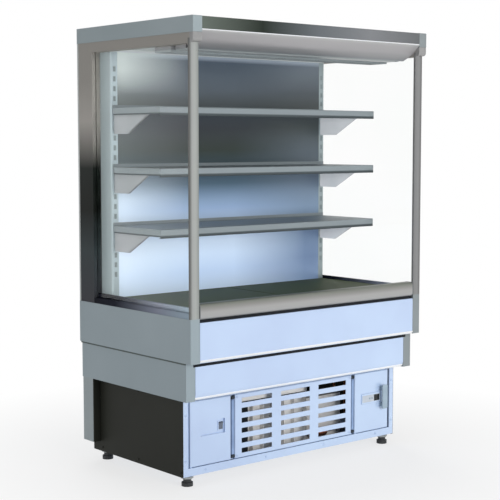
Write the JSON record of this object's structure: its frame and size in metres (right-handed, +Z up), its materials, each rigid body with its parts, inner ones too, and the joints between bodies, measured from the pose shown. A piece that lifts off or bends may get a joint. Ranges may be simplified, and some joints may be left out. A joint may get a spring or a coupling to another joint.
{
  "type": "refrigerated display case",
  "caption": "Open-front refrigerated display case with glass sides, hooked shelves, lift-out deck trays, a slotted base grille and hinged service doors.",
  "frame": {"origin": "on the floor under the middle of the case", "axes": "+Z up, open front facing -Y, +X to the right as seen by someone facing the open front"},
  "size_m": [1.33, 0.83, 1.9],
  "materials": {
    "side_panel": "satin",
    "front_panel": "satin",
    "lip": "satin",
    "post": "satin",
    "dark_frame": "satin",
    "fascia": "gloss",
    "visor": "satin",
    "back_panel": "satin",
    "upright": "satin",
    "shelf": "satin",
    "bracket": "satin",
    "deck": "polished",
    "glass": "polished",
    "base_side": "matte",
    "rear_cover": "satin",
    "insulation": "satin",
    "lamp": "satin",
    "foot": "matte",
    "switch": "satin",
    "control": "gloss",
    "handle": "satin",
    "coil": "satin",
    "galvanised": "satin",
    "compressor": "satin",
    "copper": "satin",
    "fan": "satin",
    "motor": "satin",
    "drain": "matte"
  },
  "bodies": {
    "case": {"end_panel_left": "side_panel", "end_panel_right": "side_panel", "canopy_end_left": "side_panel", "canopy_end_right": "side_panel", "front_panel_upper": "front_panel", "front_panel_lower": "front_panel", "grille": "front_panel", "base_chassis": "front_panel", "lip": "lip", "post_left": "post", "post_right": "post", "side_frame_left": "dark_frame", "side_frame_right": "dark_frame", "fascia": "fascia", "visor": "visor", "ceiling": "visor", "lamp_housing": "visor", "air_outlet": "visor", "back_panel": "back_panel", "upright_left": "upright", "upright_right": "upright", "brackets_left": "bracket", "brackets_right": "bracket", "return_grille": "deck", "glass_left": "glass", "glass_right": "glass", "base_side_left": "base_side", "base_side_right": "base_side", "rear_cover": "rear_cover", "tub": "insulation", "rear_wall": "insulation", "roof": "insulation", "lamp_tube": "lamp", "feet": "foot", "evaporator": "coil", "condenser": "coil", "fan_plate": "galvanised", "fan_shroud": "galvanised", "electrical_box": "galvanised", "compressor": "compressor", "pipework": "copper", "condenser_motor": "motor", "evap_motors": "motor", "drain_pipe": "drain", "drip_pan": "drain"},
    "left_door": {"door_left": "front_panel", "light_switch": "switch"},
    "rocker": {"rocker": "switch"},
    "right_door": {"door_right": "front_panel", "door_handle": "handle", "controller": "control"},
    "condenser_fan": {"condenser_fan": "fan"},
    "evap_fan_left": {"evap_fan_left": "fan"},
    "evap_fan_right": {"evap_fan_right": "fan"},
    "shelf_1": {"shelf_1": "shelf"},
    "shelf_2": {"shelf_2": "shelf"},
    "shelf_3": {"shelf_3": "shelf"},
    "deck_tray_left": {"deck_tray_left": "deck"},
    "deck_tray_right": {"deck_tray_right": "deck"}
  },
  "joints": [
    {"name": "left_door_hinge", "type": "hinge", "parent": "case", "child": "left_door", "pos_m": [-0.573, -0.268, 0.2175], "axis": [0, 0, -1], "range_deg": [0, 100]},
    {"name": "rocker_tilt", "type": "hinge", "parent": "left_door", "child": "rocker", "pos_m": [-0.4145, -0.259, 0.233], "axis": [-1, 0, 0], "range_deg": [0, 16]},
    {"name": "right_door_hinge", "type": "hinge", "parent": "case", "child": "right_door", "pos_m": [0.373, -0.268, 0.2175], "axis": [0, 0, -1], "range_deg": [0, 100]},
    {"name": "condenser_fan_spin", "type": "hinge", "parent": "case", "child": "condenser_fan", "pos_m": [-0.09, -0.13, 0.1785], "axis": [0, 1, 0], "continuous": true},
    {"name": "evap_fan_left_spin", "type": "hinge", "parent": "case", "child": "evap_fan_left", "pos_m": [-0.28, -0.222, 0.58], "axis": [0, 1, 0], "continuous": true},
    {"name": "evap_fan_right_spin", "type": "hinge", "parent": "case", "child": "evap_fan_right", "pos_m": [0.28, -0.222, 0.58], "axis": [0, 1, 0], "continuous": true},
    {"name": "shelf_1_lift", "type": "slide", "parent": "case", "child": "shelf_1", "axis": [0, 0, 1], "range_m": [0, 0.1]},
    {"name": "shelf_2_lift", "type": "slide", "parent": "case", "child": "shelf_2", "axis": [0, 0, 1], "range_m": [0, 0.1]},
    {"name": "shelf_3_lift", "type": "slide", "parent": "case", "child": "shelf_3", "axis": [0, 0, 1], "range_m": [0, 0.1]},
    {"name": "deck_tray_left_lift", "type": "slide", "parent": "case", "child": "deck_tray_left", "axis": [0, 0, 1], "range_m": [0, 0.15]},
    {"name": "deck_tray_right_lift", "type": "slide", "parent": "case", "child": "deck_tray_right", "axis": [0, 0, 1], "range_m": [0, 0.15]}
  ]
}
